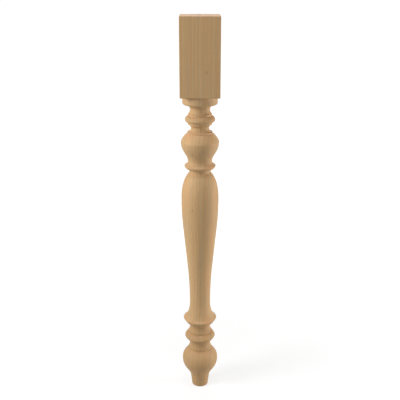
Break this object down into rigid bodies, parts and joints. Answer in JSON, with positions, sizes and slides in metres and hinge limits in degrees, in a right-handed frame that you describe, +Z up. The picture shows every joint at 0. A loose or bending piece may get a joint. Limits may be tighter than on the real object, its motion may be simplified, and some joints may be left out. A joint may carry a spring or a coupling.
{
  "type": "turned wooden furniture leg",
  "caption": "Tall turned wooden leg with a square block at the top, vase and bead mouldings, a long tapering body and a ball foot.",
  "frame": {"origin": "centre of the foot's flat underside, on the floor", "axes": "+Z up along the turning axis to the top of the block, -Y out of the front face of the block, +X to the right of that face"},
  "size_m": [0.07, 0.07, 0.73],
  "materials": {
    "wood": "bare sanded beech, matt, with fine upright grain"
  },
  "bodies": {
    "root": {"leg": "wood"}
  },
  "joints": []
}
